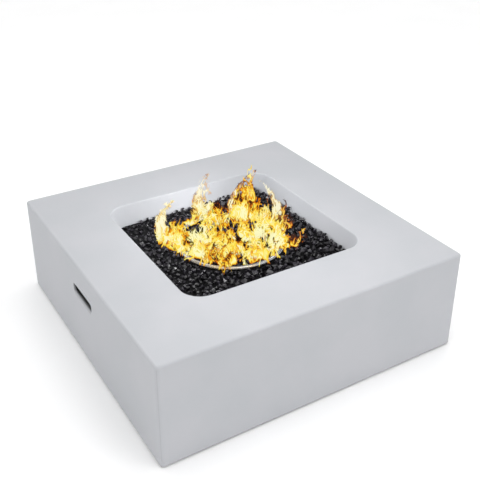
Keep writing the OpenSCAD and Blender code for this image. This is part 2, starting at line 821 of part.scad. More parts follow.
// A hollow knob with a skirt, a fluted grip and a pointer groove
module control_knob() {
    boss_r = stem_r + 3;
    lean = atan((grip_r - grip_front_r) / knob_h);
    color("#232427") on_back_wall() translate([-control_reach, 0, knob_back]) difference() {
        union() {
            difference() {
                union() {
                    cylinder(h = skirt_h - skirt_bevel, r = knob_r);
                    translate([0, 0, skirt_h - skirt_bevel])
                        cylinder(h = skirt_bevel, r1 = knob_r, r2 = knob_r - skirt_bevel);
                    cylinder(h = knob_h - knob_bevel, r1 = grip_r, r2 = grip_front_r);
                    translate([0, 0, knob_h - knob_bevel])
                        cylinder(h = knob_bevel, r1 = grip_front_r, r2 = grip_front_r - knob_bevel);
                }
                translate([0, 0, -over])
                    cylinder(h = knob_h - knob_front_t + over, r1 = grip_r - knob_wall,
                        r2 = grip_front_r - knob_bevel - knob_wall);
                for (i = [0 : flute_count - 1]) rotate(360 * (i + 0.5) / flute_count)
                    translate([grip_r + flute_r / 2, 0, 0]) rotate([0, -lean, 0])
                        translate([0, 0, skirt_h + 1]) cylinder(h = knob_h, r = flute_r);
            }
            translate([0, 0, 1]) cylinder(h = knob_h - 2, r = boss_r);
        }
        difference() {
            cylinder(h = knob_h - knob_front_t, r = stem_r + fit);
            translate([-stem_r - over, stem_r - stem_flat + fit, flat_back + fit])
                cube([2 * stem_r + 2 * over, stem_flat + over, knob_h]);
        }
        translate([-pointer_w / 2, grip_front_r / 3, knob_h - pointer_depth])
            cube([pointer_w, grip_front_r, pointer_depth + over]);
    }
}

// The inlet takes the gas hose from below
module gas_inlet() {
    color("#cfae5c") on_back_wall() translate([-control_reach, -valve_h / 2, inlet_depth])
        rotate([90, 0, 0]) difference() {
            union() {
                translate([0, 0, -inlet_plug]) cylinder(h = inlet_plug, r = flare_r);
                hexagon(flare_af, flare_hex);
                translate([0, 0, flare_hex]) flare_end();
            }
            translate([0, 0, -inlet_plug - over])
                cylinder(h = inlet_plug + flare_hex + flare_len + 2 * over, r = fitting_bore_r);
        }
}

module igniter_housing() {
    color("#1f2022") on_back_wall() translate([control_reach, 0, 0]) difference() {
        union() {
            translate([0, 0, igniter_back]) cylinder(h = igniter_len, r = igniter_r);
            translate([0, 0, plate_front])
                cylinder(h = igniter_flange_t - igniter_bevel, r = igniter_flange_r);
            translate([0, 0, plate_front + igniter_flange_t - igniter_bevel])
                cylinder(h = igniter_bevel, r1 = igniter_flange_r, r2 = igniter_flange_r - igniter_bevel);
        }
        translate([0, 0, plate_front - button_seat])
            cylinder(h = button_seat + igniter_flange_t + over, r = button_r + running);
        translate([0, 0, battery_front - battery_len])
            cylinder(h = button_back - battery_front + battery_len, r = battery_r + fit);
    }
}

module igniter_nut() {
    color("#2a2b2e") on_back_wall() translate([control_reach, 0, plate_back - igniter_nut_t]) difference() {
        hexagon(2 * (igniter_r + igniter_nut_wall), igniter_nut_t);
        translate([0, 0, -over]) cylinder(h = igniter_nut_t + 2 * over, r = igniter_r + fit);
    }
}

module igniter_battery() {
    color("#6d7176") on_back_wall() translate([control_reach, 0, battery_front - battery_len]) {
        cylinder(h = battery_len - battery_nub, r = battery_r);
        cylinder(h = battery_len, r = battery_r / 3);
    }
}

module igniter_spring() {
    color("#8e9296") on_back_wall() translate([control_reach, 0, battery_front])
        coil(button_coils, battery_r * 0.7, button_wire_r, button_back - battery_front);
}

module igniter_button() {
    dome = 2;
    front = igniter_flange_t + button_out;
    color("#b3261e") on_back_wall() translate([control_reach, 0, plate_front]) rotate_extrude() {
        translate([0, button_back - plate_front])
            square([button_r, front - dome - button_back + plate_front]);
        square([button_r - dome, front]);
        intersection() {
            translate([button_r - dome, front - dome]) circle(dome);
            square([button_r, front]);
        }
    }
}

module igniter_terminal() {
    color("#cfae5c") on_back_wall() translate([control_reach, 0, igniter_back - terminal_len])
        cylinder(h = terminal_len, r = spark_lead_r + 2);
}

// A bent strip: a foot on the tray, an upright, and a tab that holds the sleeve and the thermocouple
module sensor_bracket() {
    color("#b3b6ba") difference() {
        translate([-bracket_half, 0, 0]) rotate([90, 0, 90]) linear_extrude(2 * bracket_half) polygon([
            [bracket_y, floor_z], [bracket_y + bracket_foot, floor_z],
            [bracket_y + bracket_foot, floor_z + sheet_t], [bracket_y + sheet_t, floor_z + sheet_t],
            [bracket_y + sheet_t, tab_z + sheet_t], [pilot_y - tab_reach, tab_z + sheet_t],
            [pilot_y - tab_reach, tab_z], [bracket_y, tab_z]]);
        translate([-pilot_reach, pilot_y, tab_z - over]) cylinder(h = sheet_t + 2 * over, r = sleeve_r + fit);
        translate([pilot_reach, pilot_y, tab_z - over]) cylinder(h = sheet_t + 2 * over, r = probe_r + fit);
        for (side = [-1, 1]) translate([side * bracket_half / 2, rivet_y, floor_z - over])
            cylinder(h = sheet_t + 2 * over, r = screw_r + fit);
    }
}

module bracket_rivets() {
    color("#b9bcc0") for (side = [-1, 1]) translate([side * bracket_half / 2, rivet_y, floor_under]) {
        cylinder(h = 2 * sheet_t, r = screw_r);
        translate([0, 0, -rivet_head_h]) cylinder(h = rivet_head_h, r = rivet_head_r);
        translate([0, 0, 2 * sheet_t]) cylinder(h = rivet_head_h, r1 = rivet_head_r, r2 = screw_r);
    }
}

module spark_sleeve() {
    foot = lead_foot + 4;
    top = tab_z + sheet_t + 2 * sleeve_step;
    color("#f2efe6") translate([-pilot_reach, pilot_y, foot]) difference() {
        union() {
            cylinder(h = top - foot, r = sleeve_r);
            translate([0, 0, tab_z + sheet_t - foot]) cylinder(h = sleeve_step, r = sleeve_r + 1);
        }
        translate([0, 0, -over]) cylinder(h = top - foot + 2 * over, r = rod_r + fit);
    }
}

// The rod's tip leans over to leave a spark gap at the ring
module spark_rod() {
    tip_z = ring_z - 1;
    points = [[-pilot_reach, pilot_y, lead_foot], [-pilot_reach, pilot_y, tip_z],
        [-pilot_reach, ring_r - ring_tube_r - spark_gap, tip_z + 5]];
    color("#c8ccd1") swept_bar(rounded_route(points, 3), rod_r, tube_sides, [1, 0, 0]);
}

module spark_lead() {
    color("#8c2f26")
        swept_bar(rounded_route(spark_points, lead_bend), spark_lead_r, tube_sides, [1, 0, 0]);
}

module thermocouple() {
    color("#c8a87a") translate([pilot_reach, pilot_y, 0]) {
        translate([0, 0, lead_foot]) cylinder(h = ring_z - lead_foot, r = probe_r);
        translate([0, 0, ring_z]) sphere(probe_r);
        translate([0, 0, tab_z - sleeve_step]) cylinder(h = sleeve_step, r = probe_r + 1.5);
    }
}

module thermocouple_nut() {
    color("#cfae5c") on_back_wall() translate([-control_reach, thermo_reach, valve_back]) difference() {
        union() {
            cylinder(h = thermo_plug, r = thermo_plug_r);
            translate([0, 0, -thermo_hex]) hexagon(3 * thermo_plug_r, thermo_hex);
        }
        translate([0, 0, -thermo_hex - over]) cylinder(h = thermo_hex + over, r = probe_lead_r + fit);
    }
}

module thermocouple_lead() {
    color("#b87b4b")
        swept_bar(rounded_route(thermo_points, lead_bend), probe_lead_r, tube_sides, [1, 0, 0]);
}

// The buried fill of the bed, with room for the pipe, the bracket and the screw heads
module glass_bed() {
    color("#1b1c1e") difference() {
        union() {
            rounded_plate(pan_half - sheet_t - glass_gap, pan_half - sheet_t - glass_gap - bowl_c, floor_z,
                tray_top - floor_z + over);
            drafted_block(tray_top, glass_z, bowl_half_at(tray_top) - 2 * glass_gap,
                bowl_half_at(glass_z) - 2 * glass_gap);
        }
        translate([0, 0, floor_z - over]) {
            cylinder(h = glass_z - floor_z + 2 * over, r = locknut_af / 2 / cos(30) + over);
            translate([-bracket_half - over, pilot_y - tab_reach - over, 0]) cube([2 * (bracket_half + over),
                bracket_y + bracket_foot - pilot_y + tab_reach + 2 * over, glass_z - floor_z + 2 * over]);
        }
        tray_screw_places() translate([0, 0, tray_top - over])
            cylinder(h = screw_head_h + over + glass_gap, r = screw_head_r + glass_gap);
    }
}

// Corners of an irregular piece: a ring of them round its waist, then one above and one below
function glass_points(seed) = let(v = rands(0, 1, 3 * waist + 6, seed), tip = 3 * waist)
    concat([for (k = [0 : waist - 1]) let(
        a = 360 * (k + 0.5 * v[k]) / waist,
        r = glass_r * (0.75 + 0.25 * v[waist + k]))
        [r * cos(a), r * sin(a), glass_up * 0.6 * (v[2 * waist + k] - 0.5)]], [
        [glass_r * (v[tip] - 0.5), glass_r * (v[tip + 1] - 0.5), glass_up * (0.7 + 0.3 * v[tip + 2])],
        [glass_r * (v[tip + 3] - 0.5), glass_r * (v[tip + 4] - 0.5), -glass_down * (0.7 + 0.3 * v[tip + 5])]]);
glass_facets = [for (k = [0 : waist - 1], low = [0, 1]) let(m = (k + 1) % waist)
    low == 0 ? [m, k, waist] : [k, m, waist + 1]];

// True where a piece of reach r in the top layer has the bed below it and misses the burner
function glass_fits(x, y, r) = let(reach = bowl_half_at(glass_z) - r - 1)
    max(abs(x), abs(y)) < reach
    && norm([max(abs(x) - bowl_c, 0), max(abs(y) - bowl_c, 0)]) < reach - bowl_c
    && abs(norm([x, y]) - ring_r) > ring_tube_r + r
    && norm([x, y]) > locknut_af / 2 / cos(30) + r + over
    && (abs(y) > ring_tube_r + r || norm([x, y]) > ring_r)
    && (abs(x) > bracket_half + r + over || y < pilot_y - tab_reach - r - over
        || y > bracket_y + bracket_foot + r + over);

// The top layer of pieces, each resting on the bed
module fire_glass() {
    row = glass_pitch * sin(60);
    rows = ceil(bowl_half / row);
    color("#17181a") for (i = [-rows : rows], j = [-rows : rows]) {
        x = (i + (j % 2) / 2) * glass_pitch;
        y = j * row;
        if (glass_fits(x, y, glass_r)) {
            points = glass_points(glass_seed + 97 * i + 7919 * j);
            low = min([for (p = points) p[2]]);
            translate([x, y, glass_z - low]) polyhedron(points, glass_facets);
        }
    }
}

table_shell();
rubber_feet();
burner_tray();
tray_screws();
burner_ring();
burner_pipe();
pipe_locknuts();
air_mixer();
gas_orifice();
gas_line();
flare_nuts();
line_clip();
control_box();
box_screws();
valve_body();
valve_cap();
valve_screws();
valve_stem();
stem_washer();
stem_spring();
control_knob();
gas_inlet();
igniter_housing();
igniter_nut();
igniter_battery();
igniter_spring();
igniter_button();
igniter_terminal();
sensor_bracket();
bracket_rivets();
spark_sleeve();
spark_rod();
spark_lead();
thermocouple();
thermocouple_nut();
thermocouple_lead();
glass_bed();
fire_glass();
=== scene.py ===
# Looks of a low square gas fire pit table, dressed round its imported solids. Metres, +Z up.
import json
import math
import random

import bmesh
import bpy
from mathutils import Euler, Matrix, Vector, noise


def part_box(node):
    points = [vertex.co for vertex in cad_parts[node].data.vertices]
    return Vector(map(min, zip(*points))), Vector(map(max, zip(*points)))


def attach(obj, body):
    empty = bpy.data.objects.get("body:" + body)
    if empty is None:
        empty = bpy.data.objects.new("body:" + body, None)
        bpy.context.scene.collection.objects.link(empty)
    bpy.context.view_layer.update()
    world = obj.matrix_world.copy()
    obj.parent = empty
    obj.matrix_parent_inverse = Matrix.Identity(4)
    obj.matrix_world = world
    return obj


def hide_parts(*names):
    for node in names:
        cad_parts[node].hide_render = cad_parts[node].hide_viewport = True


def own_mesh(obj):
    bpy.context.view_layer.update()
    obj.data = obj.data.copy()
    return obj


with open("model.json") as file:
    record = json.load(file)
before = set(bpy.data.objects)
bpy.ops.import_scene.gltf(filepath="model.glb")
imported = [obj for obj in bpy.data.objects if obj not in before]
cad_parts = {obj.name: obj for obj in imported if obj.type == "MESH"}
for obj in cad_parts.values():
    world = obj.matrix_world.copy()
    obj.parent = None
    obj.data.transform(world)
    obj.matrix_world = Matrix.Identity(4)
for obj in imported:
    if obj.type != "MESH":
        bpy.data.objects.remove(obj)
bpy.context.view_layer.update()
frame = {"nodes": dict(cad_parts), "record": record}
nodes = frame["nodes"]
scene = bpy.context.scene
scene.view_settings.view_transform = "Standard"
mm = 0.001

# the bowl's mouth, its slope, and where its corners' rounds begin, as the casting has them
bowl = {"mouth": 0.267, "draft": math.radians(15), "cornerAt": 0.209}
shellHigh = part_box("table_shell")[1]

# nearly all values of a noise lie in this span, about this middle
noiseSpan = {"From Min": 0.3, "From Max": 0.7}
noiseMiddle = 0.5
# a Mix node takes two colours at its inputs 6 and 7, and gives their mix at output 2
mixColours = {"out": 2, "data_type": "RGBA"}


# colours are written as sRGB hex and used as linear values
def linear(hexColour):
    channels = [int(hexColour[i:i + 2], 16) / 255 for i in (0, 2, 4)]
    return (*[c / 12.92 if c <= 0.04045 else ((c + 0.055) / 1.055) ** 2.4 for c in channels], 1.0)


# how often a pattern repeats in a metre, from its size in millimetres
def perMetre(sizeMm):
    return 1000 / sizeMm


# adds one node, sets or links its inputs, and returns the output asked for; a ramp's stops are places and
# hex colours
def addNode(tree, kind, inputs=None, out=0, stops=None, **settings):
    node = tree.nodes.new(kind)
    for name, value in settings.items():
        setattr(node, name, value)
    for name, value in (inputs or {}).items():
        if isinstance(value, bpy.types.NodeSocket):
            tree.links.new(value, node.inputs[name])
        else:
            node.inputs[name].default_value = value
    if stops:
        ramp = node.color_ramp.elements
        while len(ramp) < len(stops):
            ramp.new(1.0)
        for element, (place, hexColour) in zip(ramp, stops):
            element.position = place
            element.color = linear(hexColour)
    return node.outputs[out]


# a new material with its tree, its shader and the object's own coordinates
def newMaterial(name, **constants):
    material = bpy.data.materials.new(name)
    material.use_nodes = True
    tree = material.node_tree
    shader = tree.nodes["Principled BSDF"]
    for socket, value in constants.items():
        shader.inputs[socket.replace("_", " ")].default_value = value
    place = addNode(tree, "ShaderNodeTexCoord", out="Object")
    return material, tree, shader, place


def castMineral():
    # Smooth cast fibre cement, painted pale cool grey: matte, faintly cloudy, with a fine sanded grain and a
    # few pinholes left by air in the mould, drawn as darker dots of painted shade. The hollow inside is left
    # unpainted and coloured near black: painted shade that shows through the openings.
    look = {"tones": [(0.35, "adafb3"), (0.65, "b2b3b7")], "pit": "999a9e", "rawPaintedShade": "0e0f0f", "cloudMm": 160,
            "grainMm": 1.6, "grainDepth": 0.03 * mm, "waveMm": 60, "waveDepth": 0.12 * mm, "pitMm": 26,
            "pitEdge": 0.035, "pitFloor": 0.014, "rough": (0.62, 0.74), "skin": 9 * mm,
            "shadeFade": (2 * mm, 7 * mm)}
    material, tree, shader, place = newMaterial("painted cast mineral", IOR=1.5)
    cloud = addNode(tree, "ShaderNodeTexNoise", {
        "Vector": place, "Scale": perMetre(look["cloudMm"]), "Detail": 4.0})
    tone = addNode(tree, "ShaderNodeValToRGB", {0: cloud}, stops=look["tones"])
    # pinholes: small darker dots, a painted shade of holes that have no depth of their own
    pit = addNode(tree, "ShaderNodeTexVoronoi", {
        "Vector": place, "Scale": perMetre(look["pitMm"]), "Randomness": 1.0}, out="Distance")
    pinholeShade = addNode(tree, "ShaderNodeMapRange", {
        "Value": pit, "From Min": look["pitEdge"], "From Max": look["pitFloor"]})
    paint = addNode(tree, "ShaderNodeMix", {0: pinholeShade, 6: tone, 7: linear(look["pit"])}, **mixColours)
    # paint lies on the top and in the bowl, one skin deep, and on the outer faces; a few millimetres into
    # the openings it fades into the near black of the inside, a painted shade
    away = addNode(tree, "ShaderNodeVectorMath", {0: place}, operation="ABSOLUTE")
    across = addNode(tree, "ShaderNodeSeparateXYZ", {0: away}, out=0)
    along = addNode(tree, "ShaderNodeSeparateXYZ", {0: away}, out=1)
    level = addNode(tree, "ShaderNodeSeparateXYZ", {0: place}, out=2)
    reach = addNode(tree, "ShaderNodeMath", {0: across, 1: along}, operation="MAXIMUM")
    # painted shade: how deep into the openings the paint begins to darken, and where it is fully near black
    shadeFadeStart, shadeFadeEnd = look["shadeFade"]
    outsideUnshaded = addNode(tree, "ShaderNodeMapRange", {
        "Value": reach, "From Min": shellHigh.x - shadeFadeEnd, "From Max": shellHigh.x - shadeFadeStart},
        interpolation_type="SMOOTHSTEP")
    topSkin = shellHigh.z - look["skin"]
    onTop = addNode(tree, "ShaderNodeMath", {0: level, 1: topSkin}, operation="GREATER_THAN")
    slope = math.tan(bowl["draft"])
    bowlSide = addNode(tree, "ShaderNodeMath", {
        0: level, 1: slope, 2: bowl["mouth"] - shellHigh.z * slope + look["skin"]}, operation="MULTIPLY_ADD")
    inBowl = addNode(tree, "ShaderNodeMath", {0: reach, 1: bowlSide}, operation="LESS_THAN")
    shown = addNode(tree, "ShaderNodeMath", {0: outsideUnshaded, 1: onTop}, operation="MAXIMUM")
    shown = addNode(tree, "ShaderNodeMath", {0: shown, 1: inBowl}, operation="MAXIMUM")
    # painted shade: the hollow, and the openings past the fade, take the near black colour
    colour = addNode(tree, "ShaderNodeMix", {0: shown, 6: linear(look["rawPaintedShade"]), 7: paint}, **mixColours)
    tree.links.new(colour, shader.inputs["Base Color"])
    rough = addNode(tree, "ShaderNodeMapRange", {
        "Value": cloud, **noiseSpan, "To Min": look["rough"][0], "To Max": look["rough"][1]})
    tree.links.new(rough, shader.inputs["Roughness"])
    waves = addNode(tree, "ShaderNodeTexNoise", {
        "Vector": place, "Scale": perMetre(look["waveMm"]), "Detail": 2.0})
    wavy = addNode(tree, "ShaderNodeBump", {"Height": waves, "Distance": look["waveDepth"]})
    grain = addNode(tree, "ShaderNodeTexNoise", {
        "Vector": place, "Scale": perMetre(look["grainMm"]), "Detail": 3.0})
    sanded = addNode(tree, "ShaderNodeBump", {
        "Height": grain, "Distance": look["grainDepth"], "Normal": wavy})
    tree.links.new(sanded, shader.inputs["Normal"])
    return material


def fireGlass():
    # Black tempered glass broken into nuggets: nearly black inside, polished fracture faces with faint shell
    # ripples, each piece a little different.
    look = {"tones": [(0.2, "141215"), (1.0, "2c2930")], "rippleMm": 4, "rippleDepth": 0.1 * mm,
            "rough": (0.03, 0.2)}
    material, tree, shader, place = newMaterial("black fire glass", IOR=1.52, Specular_IOR_Level=0.48)
    each = addNode(tree, "ShaderNodeNewGeometry", out="Random Per Island")
    tone = addNode(tree, "ShaderNodeValToRGB", {0: each}, stops=look["tones"])
    tree.links.new(tone, shader.inputs["Base Color"])
    rough = addNode(tree, "ShaderNodeMapRange", {
        "Value": each, "To Min": look["rough"][0], "To Max": look["rough"][1]})
    tree.links.new(rough, shader.inputs["Roughness"])
    ripple = addNode(tree, "ShaderNodeTexNoise", {
        "Vector": place, "Scale": perMetre(look["rippleMm"]), "Detail": 2.0})
    rippled = addNode(tree, "ShaderNodeBump", {"Height": ripple, "Distance": look["rippleDepth"]})
    tree.links.new(rippled, shader.inputs["Normal"])
    return material


def buriedGlassShade():
    # The same glass packed under the top layer: dull, and coloured near black as painted shade for the deep
    # gaps.
    look = {"tones": [(0.4, "070708"), (0.6, "0f0f11")], "patchMm": 10}
    material, tree, shader, place = newMaterial("buried glass in painted shade", Roughness=0.8, Specular_IOR_Level=0.2)
    # painted shade: patches of slightly different darkness
    shadePatches = addNode(tree, "ShaderNodeTexNoise", {
        "Vector": place, "Scale": perMetre(look["patchMm"]), "Detail": 3.0})
    tone = addNode(tree, "ShaderNodeValToRGB", {0: shadePatches}, stops=look["tones"])
    tree.links.new(tone, shader.inputs["Base Color"])
    return material


def burnerSteel():
    # Polished stainless burner tube: bright, drawn lines along the ring, and straw to bronze heat tint in
    # patches. Its cross tube and hub stand in the fire and are dark with soot.
    look = {"tones": [(0.45, "a9abad"), (0.6, "a3947a"), (0.75, "6f6158")], "soot": "2b2320",
            "sootFrom": 13 * mm, "sootFade": 14 * mm, "tintMm": 70, "lineMm": 3, "lineStretch": (6, 6, 1),
            "lineDepth": 0.02 * mm, "rough": (0.16, 0.3)}
    material, tree, shader, place = newMaterial("heat tinted stainless steel", Metallic=1.0)
    tint = addNode(tree, "ShaderNodeTexNoise", {
        "Vector": place, "Scale": perMetre(look["tintMm"]), "Detail": 3.0})
    tinted = addNode(tree, "ShaderNodeValToRGB", {0: tint}, stops=look["tones"])
    onPlan = addNode(tree, "ShaderNodeVectorMath", {0: place, 1: (1, 1, 0)}, operation="MULTIPLY")
    across = addNode(tree, "ShaderNodeVectorMath", {0: onPlan}, out="Value", operation="LENGTH")
    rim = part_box("burner_ring")[1].x - look["sootFrom"]
    clean = addNode(tree, "ShaderNodeMapRange", {
        "Value": across, "From Min": rim - look["sootFade"], "From Max": rim})
    tone = addNode(tree, "ShaderNodeMix", {0: clean, 6: linear(look["soot"]), 7: tinted}, **mixColours)
    tree.links.new(tone, shader.inputs["Base Color"])
    drawn = addNode(tree, "ShaderNodeMapping", {
        "Vector": place, "Scale": [1 / longer for longer in look["lineStretch"]]})
    lines = addNode(tree, "ShaderNodeTexNoise", {
        "Vector": drawn, "Scale": perMetre(look["lineMm"]), "Detail": 2.0})
    rough = addNode(tree, "ShaderNodeMapRange", {
        "Value": lines, **noiseSpan, "To Min": look["rough"][0], "To Max": look["rough"][1]})
    tree.links.new(rough, shader.inputs["Roughness"])
    scored = addNode(tree, "ShaderNodeBump", {"Height": lines, "Distance": look["lineDepth"]})
    tree.links.new(scored, shader.inputs["Normal"])
    return material


# plainer finishes: two tones in patches, a range of roughness, and a fine grain that may be drawn out
finishes = {
    # black polyester powder coat on sheet steel: satin, with orange peel
    "black_steel": {
        "name": "black powder coat", "tones": ("17181a", "202124"), "patchMm": 30, "rough": (0.42, 0.55),
        "grainMm": 2.2, "grainDepth": 0.05 * mm},
    # zinc-plated steel: bluish bright, with dull passivation patches
    "zinc_steel": {
        "name": "zinc plated steel", "tones": ("b9bdc2", "a5a79f"), "patchMm": 9, "rough": (0.25, 0.42),
        "grainMm": 1.0, "grainDepth": 0.01 * mm, "metallic": 1.0},
    # brushed stainless strip and drawn rod
    "stainless": {
        "name": "brushed stainless steel", "tones": ("c6c8ca", "b4b6b8"), "patchMm": 14,
        "rough": (0.22, 0.38), "grainMm": 1.2, "grainDepth": 0.015 * mm, "metallic": 1.0,
        "stretch": (12, 1, 1)},
    # oil-tempered spring wire
    "spring_steel": {
        "name": "oil tempered spring steel", "tones": ("8b8e92", "6f7377"), "patchMm": 4,
        "rough": (0.28, 0.45), "grainMm": 0.6, "grainDepth": 0.01 * mm, "metallic": 1.0},
    # turned brass fittings, with a warm tarnish
    "brass": {
        "name": "turned brass", "tones": ("cda858", "a98742"), "patchMm": 12, "rough": (0.2, 0.36),
        "grainMm": 0.9, "grainDepth": 0.015 * mm, "metallic": 1.0, "stretch": (1, 10, 1)},
    # drawn aluminium tube, lightly oxidised
    "aluminium_tube": {
        "name": "drawn aluminium tube", "tones": ("c4c6c8", "adb0b3"), "patchMm": 16, "rough": (0.3, 0.46),
        "grainMm": 1.0, "grainDepth": 0.012 * mm, "metallic": 1.0, "stretch": (1, 9, 1)},
    # moulded rubber feet, dull and dusty
    "rubber": {
        "name": "moulded rubber", "tones": ("1f2022", "2b2b2c"), "patchMm": 8, "rough": (0.75, 0.88),
        "grainMm": 0.8, "grainDepth": 0.03 * mm},
    # black ABS with a fine spark-eroded mould texture, drawn about twice as coarse so that it shows
    "black_plastic": {
        "name": "textured black abs", "tones": ("141517", "1b1c1e"), "patchMm": 12, "rough": (0.4, 0.52),
        "grainMm": 0.8, "grainDepth": 0.025 * mm},
    # glossy red acetal push button
    "red_plastic": {
        "name": "red acetal", "tones": ("b5261d", "a82019"), "patchMm": 10, "rough": (0.2, 0.3),
        "grainMm": 1.5, "grainDepth": 0.006 * mm},
    # plastic sleeve of a dry cell, with no print on it
    "battery_case": {
        "name": "plain battery sleeve", "tones": ("6b7076", "5d6268"), "patchMm": 18, "rough": (0.25, 0.35),
        "grainMm": 2.0, "grainDepth": 0.005 * mm},
    # glazed alumina sleeve of the electrode
    "white_ceramic": {
        "name": "glazed alumina", "tones": ("efece2", "e2ddcf"), "patchMm": 6, "rough": (0.12, 0.22),
        "grainMm": 1.2, "grainDepth": 0.006 * mm},
    # red silicone lead jacket
    "red_silicone": {
        "name": "red silicone jacket", "tones": ("8f3127", "7d281f"), "patchMm": 12, "rough": (0.5, 0.65),
        "grainMm": 1.4, "grainDepth": 0.012 * mm},
    # bare copper thermocouple lead, drawn and browned
    "copper_lead": {
        "name": "browned copper", "tones": ("b9784f", "8f563a"), "patchMm": 10, "rough": (0.3, 0.46),
        "grainMm": 0.8, "grainDepth": 0.01 * mm, "metallic": 1.0},
}
# where their two tones stand on the ramp
toneStops = (0.35, 0.68)


def plainFinish(look):
    material, tree, shader, place = newMaterial(look["name"], Metallic=look.get("metallic", 0.0))
    patch = addNode(tree, "ShaderNodeTexNoise", {
        "Vector": place, "Scale": perMetre(look["patchMm"]), "Detail": 4.0})
    tone = addNode(tree, "ShaderNodeValToRGB", {0: patch}, stops=list(zip(toneStops, look["tones"])))
    tree.links.new(tone, shader.inputs["Base Color"])
    rough = addNode(tree, "ShaderNodeMapRange", {
        "Value": patch, **noiseSpan, "To Min": look["rough"][0], "To Max": look["rough"][1]})
    tree.links.new(rough, shader.inputs["Roughness"])
    drawn = addNode(tree, "ShaderNodeMapping", {
        "Vector": place, "Scale": [1 / longer for longer in look.get("stretch", (1, 1, 1))]})
    grain = addNode(tree, "ShaderNodeTexNoise", {
        "Vector": drawn, "Scale": perMetre(look["grainMm"]), "Detail": 2.0})
    grained = addNode(tree, "ShaderNodeBump", {"Height": grain, "Distance": look["grainDepth"]})
    tree.links.new(grained, shader.inputs["Normal"])
    return material


materials = {slot: plainFinish(look) for slot, look in finishes.items()}
materials["cast_body"] = castMineral()
materials["fire_glass"] = fireGlass()
special = {"burner_ring": burnerSteel(), "glass_bed": buriedGlassShade()}
for part in frame["record"]["subparts"]:
    slots = nodes[part["node"]].data.materials
    slots.clear()
    slots.append(special.get(part["node"], materials[part["material_slot"]]))
print("materials:", len(materials) + len(special))


# a finished bmesh becomes a piece that rides on a body
def addPiece(name, shape, material, body):
    mesh = bpy.data.meshes.new(name)
    shape.to_mesh(mesh)
    shape.free()
    piece = bpy.data.objects.new(name, mesh)
    scene.collection.objects.link(piece)
    mesh.materials.append(material)
    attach(piece, body)
    return piece


# Return springs: the imported coils of the knob and the button, copied into pieces of their own
spring = {"weld": 0.001 * mm}


def loosenSprings():
    for joint in frame["record"]["behaviour"]["joints"]:
        for soft in joint.get("deforming_nodes", ()):
            coil = bmesh.new()
            coil.from_mesh(nodes[soft["node"]].data)
            bmesh.ops.remove_doubles(coil, verts=coil.verts, dist=spring["weld"])
            piece = addPiece(soft["node"] + "_coil", coil, materials["spring_steel"], "table")
            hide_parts(soft["node"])
            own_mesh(piece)
            print("spring:", soft["node"], "shortens with", joint["name"])


loosenSprings()


# Fire glass: nuggets dropped one by one into the bowl, each where it can lie lowest of a few tries
nugget = {"seed": 23, "shapes": 16, "corners": 16, "cornerReach": (0.85, 1.05), "spread": (0.66, 1.1),
          "radius": (0.0062, 0.0122), "tries": 26, "misses": 150, "touch": 0.84, "sink": 0.004,
          "sinkSpread": 0.002, "heap": 0.0205, "heapSlope": Vector((0.026, -0.016, 0)),
          "heapWave": 0.002, "heapWaveSize": 0.09}
bedLow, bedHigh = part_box("glass_bed")
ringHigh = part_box("burner_ring")[1]
bracketLow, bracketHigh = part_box("sensor_bracket")
# radii of the ring's tube, its cross tube and its hub, and how far the hub stands above the tube
ring = {"tube": 0.0064, "spoke": 0.0054, "hub": 0.0165, "hubStep": 0.001}
ring["radius"] = ringHigh.x - ring["tube"]
ring["z"] = ringHigh.z - ring["hubStep"] - ring["tube"]


# how far a point lies inside the bowl's sloping wall
def roomToWall(x, y, z):
    halfSide = bowl["mouth"] - (shellHigh.z - z) * math.tan(bowl["draft"])
    dx, dy = max(abs(x) - bowl["cornerAt"], 0), max(abs(y) - bowl["cornerAt"], 0)
    reach = math.hypot(dx, dy) if dx and dy else max(dx, dy)
    return (halfSide - bowl["cornerAt"] - reach) * math.cos(bowl["draft"])


# true where a nugget is clear of the burner and the sensors
def clearOfBurner(x, y, z, r):
    around = math.hypot(x, y)
    overRing = math.hypot(around - ring["radius"], z - ring["z"]) > ring["tube"] + r
    overSpoke = math.hypot(y, z - ring["z"]) > ring["spoke"] + r or around > ring["radius"]
    besideX = x < bracketLow.x - r or x > bracketHigh.x + r
    besideY = y < bracketLow.y - r or y > bracketHigh.y + r
    return overRing and overSpoke and around > ring["hub"] + r and (besideX or besideY)


# how high the glass may lie at a place: the heap leans to one side and is a little uneven
def heapTop(x, y):
    plan = Vector((x, y, 0))
    wave = noise.noise(plan / nugget["heapWaveSize"]) * nugget["heapWave"]
    return bedHigh.z + nugget["heap"] + plan.dot(nugget["heapSlope"]) + wave


# the nuggets' places and radii, when the heap has no more room for them
def dropNuggets():
    draw = random.Random(nugget["seed"])
    cell = 2 * nugget["radius"][1]
    beside = [(a, b) for a in (-1, 0, 1) for b in (-1, 0, 1)]
    grid, placed, missed = {}, [], 0
    while missed < nugget["misses"]:
        r = draw.uniform(*nugget["radius"])
        room = r * nugget["touch"]
        best = None
        for attempt in range(nugget["tries"]):
            x, y = draw.uniform(bedLow.x, bedHigh.x), draw.uniform(bedLow.y, bedHigh.y)
            z = bedHigh.z - nugget["sink"] + draw.uniform(0, nugget["sinkSpread"])
            i, j = math.floor(x / cell), math.floor(y / cell)
            near = [other for a, b in beside for other in grid.get((i + a, j + b), ())]
            for otherX, otherY, otherZ, otherR in near:
                apart = (r + otherR) * nugget["touch"]
                gap = apart ** 2 - (x - otherX) ** 2 - (y - otherY) ** 2
                if gap > 0:
                    z = max(z, otherZ + math.sqrt(gap))
            if best and z >= best[2]:
                continue
            if roomToWall(x, y, z) > room and clearOfBurner(x, y, z, room):
                best = (x, y, z, r)
        if not best or best[2] + r > heapTop(best[0], best[1]):
            missed += 1
            continue
        missed = 0
        placed.append(best)
        grid.setdefault((math.floor(best[0] / cell), math.floor(best[1] / cell)), []).append(best)
    return placed


